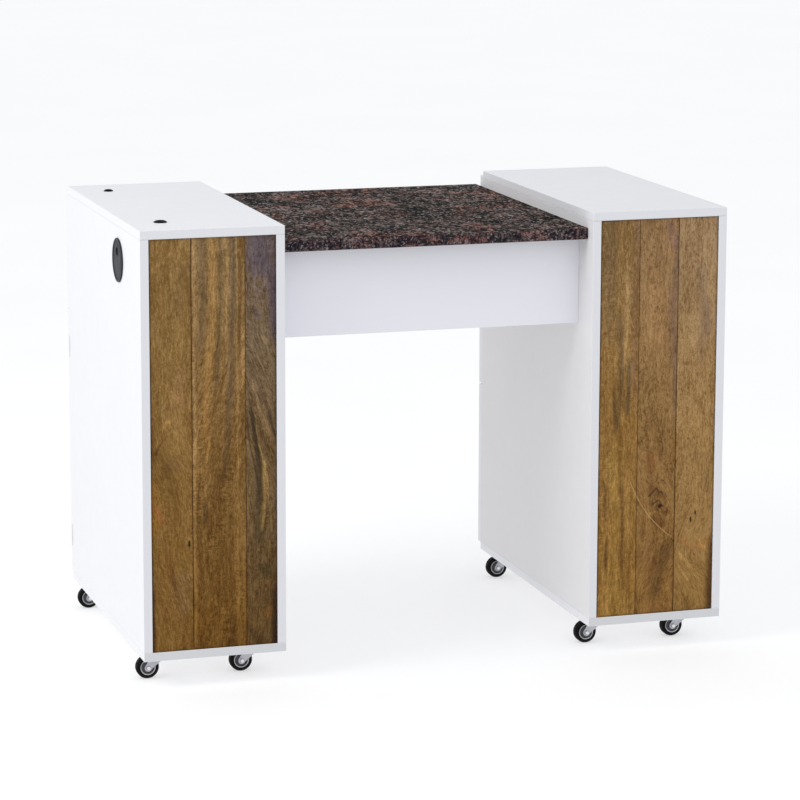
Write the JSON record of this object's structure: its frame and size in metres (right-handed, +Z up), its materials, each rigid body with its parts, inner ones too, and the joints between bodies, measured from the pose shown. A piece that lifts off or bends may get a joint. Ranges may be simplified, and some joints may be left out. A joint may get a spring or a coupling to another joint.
{
  "type": "nail salon manicure table with dust extraction",
  "caption": "White pedestal manicure table on swivel casters, with rustic wood fronts, a dark granite work surface, and a dust extraction box that vents through a side port.",
  "frame": {"origin": "middle of the footprint, on the floor", "axes": "+Z up; +X along the table, with the exhaust port at -X; +Y towards the technician, so the wood fronts on the client's side face -Y"},
  "size_m": [1.057, 0.6424, 0.793],
  "materials": {
    "white_melamine": "satin",
    "rustic_timber": "satin",
    "granite": "polished",
    "softwood": "matte",
    "drawer_box": "satin",
    "runner_steel": "satin",
    "bolt_steel": "satin",
    "hinge_steel": "satin",
    "knob_metal": "satin",
    "caster_steel": "satin",
    "caster_wheel": "matte",
    "black_plastic": "satin",
    "cassette_plastic": "satin",
    "filter_paper": "matte",
    "hose": "satin"
  },
  "bodies": {
    "table": {"apron_panel": "white_melamine", "bridge_bolts": "bolt_steel", "caster_plates": "caster_steel", "door_hinge_leaves_fixed": "hinge_steel", "drawer_runners_fixed": "runner_steel", "duct_spigot": "black_plastic", "exhaust_hose": "hose", "fan_frame": "black_plastic", "fan_switch_body": "black_plastic", "granite_top": "granite", "lamp_socket_and_cord_bush": "black_plastic", "left_bottom_panel": "white_melamine", "left_divider_shelf": "white_melamine", "left_front_boards": "rustic_timber", "left_inner_side": "white_melamine", "left_outer_side": "white_melamine", "left_service_panel": "white_melamine", "left_top_panel": "white_melamine", "plenum_floor": "white_melamine", "plenum_rear_panel": "white_melamine", "port_liner": "black_plastic", "right_bottom_panel": "white_melamine", "right_front_boards": "rustic_timber", "right_inner_side": "white_melamine", "right_outer_side": "white_melamine", "right_top_panel": "white_melamine", "support_cleats": "softwood"},
    "port_cap": {"port_cap": "black_plastic"},
    "fan_rotor": {"fan_rotor": "black_plastic"},
    "filter": {"filter_cassette": "cassette_plastic", "filter_media": "filter_paper"},
    "switch_rocker": {"fan_switch_rocker": "black_plastic"},
    "door": {"left_door": "white_melamine", "left_door_knob": "knob_metal", "door_hinge_leaves_moving": "hinge_steel"},
    "drawer_1": {"drawer_1_front": "white_melamine", "drawer_1_box": "drawer_box", "drawer_1_knob": "knob_metal"},
    "drawer_2": {"drawer_2_front": "white_melamine", "drawer_2_box": "drawer_box", "drawer_2_knob": "knob_metal"},
    "drawer_3": {"drawer_3_front": "white_melamine", "drawer_3_box": "drawer_box", "drawer_3_knob": "knob_metal"},
    "caster_fork_left_front_outer": {"fork_left_front_outer": "caster_steel"},
    "caster_wheel_left_front_outer": {"wheel_left_front_outer": "caster_wheel"},
    "caster_fork_left_front_inner": {"fork_left_front_inner": "caster_steel"},
    "caster_wheel_left_front_inner": {"wheel_left_front_inner": "caster_wheel"},
    "caster_fork_left_rear_outer": {"fork_left_rear_outer": "caster_steel"},
    "caster_wheel_left_rear_outer": {"wheel_left_rear_outer": "caster_wheel"},
    "caster_fork_left_rear_inner": {"fork_left_rear_inner": "caster_steel"},
    "caster_wheel_left_rear_inner": {"wheel_left_rear_inner": "caster_wheel"},
    "caster_fork_right_front_outer": {"fork_right_front_outer": "caster_steel"},
    "caster_wheel_right_front_outer": {"wheel_right_front_outer": "caster_wheel"},
    "caster_fork_right_front_inner": {"fork_right_front_inner": "caster_steel"},
    "caster_wheel_right_front_inner": {"wheel_right_front_inner": "caster_wheel"},
    "caster_fork_right_rear_outer": {"fork_right_rear_outer": "caster_steel"},
    "caster_wheel_right_rear_outer": {"wheel_right_rear_outer": "caster_wheel"},
    "caster_fork_right_rear_inner": {"fork_right_rear_inner": "caster_steel"},
    "caster_wheel_right_rear_inner": {"wheel_right_rear_inner": "caster_wheel"}
  },
  "joints": [
    {"name": "port_cap_turn", "type": "hinge", "parent": "table", "child": "port_cap", "pos_m": [-0.5265, -0.15325, 0.717], "axis": [1, 0, 0], "continuous": true},
    {"name": "fan_spin", "type": "hinge", "parent": "table", "child": "fan_rotor", "pos_m": [-0.2635, -0.15325, 0.672], "axis": [1, 0, 0], "continuous": true},
    {"name": "filter_pull", "type": "slide", "parent": "table", "child": "filter", "axis": [0, 1, 0], "range_m": [0, 0.075]},
    {"name": "switch_rock", "type": "hinge", "parent": "table", "child": "switch_rocker", "pos_m": [0.2165, 0.27775, 0.662], "axis": [1, 0, 0], "range_deg": [0, 16]},
    {"name": "door_swing", "type": "hinge", "parent": "table", "child": "door", "pos_m": [-0.5265, 0.28, 0.312], "axis": [0, 0, 1], "range_deg": [0, 105]},
    {"name": "drawer_1_slide", "type": "slide", "parent": "table", "child": "drawer_1", "axis": [0, 1, 0], "range_m": [0, 0.32]},
    {"name": "drawer_2_slide", "type": "slide", "parent": "table", "child": "drawer_2", "axis": [0, 1, 0], "range_m": [0, 0.32]},
    {"name": "drawer_3_slide", "type": "slide", "parent": "table", "child": "drawer_3", "axis": [0, 1, 0], "range_m": [0, 0.32]},
    {"name": "swivel_left_front_outer", "type": "hinge", "parent": "table", "child": "caster_fork_left_front_outer", "pos_m": [-0.4835, -0.24325, 0.045], "axis": [0, 0, 1], "continuous": true},
    {"name": "roll_left_front_outer", "type": "hinge", "parent": "caster_fork_left_front_outer", "child": "caster_wheel_left_front_outer", "pos_m": [-0.5035, -0.24325, 0.02], "axis": [0, 1, 0], "continuous": true},
    {"name": "swivel_left_front_inner", "type": "hinge", "parent": "table", "child": "caster_fork_left_front_inner", "pos_m": [-0.3175, -0.24325, 0.045], "axis": [0, 0, 1], "continuous": true},
    {"name": "roll_left_front_inner", "type": "hinge", "parent": "caster_fork_left_front_inner", "child": "caster_wheel_left_front_inner", "pos_m": [-0.3375, -0.24325, 0.02], "axis": [0, 1, 0], "continuous": true},
    {"name": "swivel_left_rear_outer", "type": "hinge", "parent": "table", "child": "caster_fork_left_rear_outer", "pos_m": [-0.4835, 0.24875, 0.045], "axis": [0, 0, 1], "continuous": true},
    {"name": "roll_left_rear_outer", "type": "hinge", "parent": "caster_fork_left_rear_outer", "child": "caster_wheel_left_rear_outer", "pos_m": [-0.5035, 0.24875, 0.02], "axis": [0, 1, 0], "continuous": true},
    {"name": "swivel_left_rear_inner", "type": "hinge", "parent": "table", "child": "caster_fork_left_rear_inner", "pos_m": [-0.3175, 0.24875, 0.045], "axis": [0, 0, 1], "continuous": true},
    {"name": "roll_left_rear_inner", "type": "hinge", "parent": "caster_fork_left_rear_inner", "child": "caster_wheel_left_rear_inner", "pos_m": [-0.3375, 0.24875, 0.02], "axis": [0, 1, 0], "continuous": true},
    {"name": "swivel_right_front_outer", "type": "hinge", "parent": "table", "child": "caster_fork_right_front_outer", "pos_m": [0.4865, -0.24325, 0.045], "axis": [0, 0, 1], "continuous": true},
    {"name": "roll_right_front_outer", "type": "hinge", "parent": "caster_fork_right_front_outer", "child": "caster_wheel_right_front_outer", "pos_m": [0.4665, -0.24325, 0.02], "axis": [0, 1, 0], "continuous": true},
    {"name": "swivel_right_front_inner", "type": "hinge", "parent": "table", "child": "caster_fork_right_front_inner", "pos_m": [0.3205, -0.24325, 0.045], "axis": [0, 0, 1], "continuous": true},
    {"name": "roll_right_front_inner", "type": "hinge", "parent": "caster_fork_right_front_inner", "child": "caster_wheel_right_front_inner", "pos_m": [0.3005, -0.24325, 0.02], "axis": [0, 1, 0], "continuous": true},
    {"name": "swivel_right_rear_outer", "type": "hinge", "parent": "table", "child": "caster_fork_right_rear_outer", "pos_m": [0.4865, 0.24875, 0.045], "axis": [0, 0, 1], "continuous": true},
    {"name": "roll_right_rear_outer", "type": "hinge", "parent": "caster_fork_right_rear_outer", "child": "caster_wheel_right_rear_outer", "pos_m": [0.4665, 0.24875, 0.02], "axis": [0, 1, 0], "continuous": true},
    {"name": "swivel_right_rear_inner", "type": "hinge", "parent": "table", "child": "caster_fork_right_rear_inner", "pos_m": [0.3205, 0.24875, 0.045], "axis": [0, 0, 1], "continuous": true},
    {"name": "roll_right_rear_inner", "type": "hinge", "parent": "caster_fork_right_rear_inner", "child": "caster_wheel_right_rear_inner", "pos_m": [0.3005, 0.24875, 0.02], "axis": [0, 1, 0], "continuous": true}
  ]
}
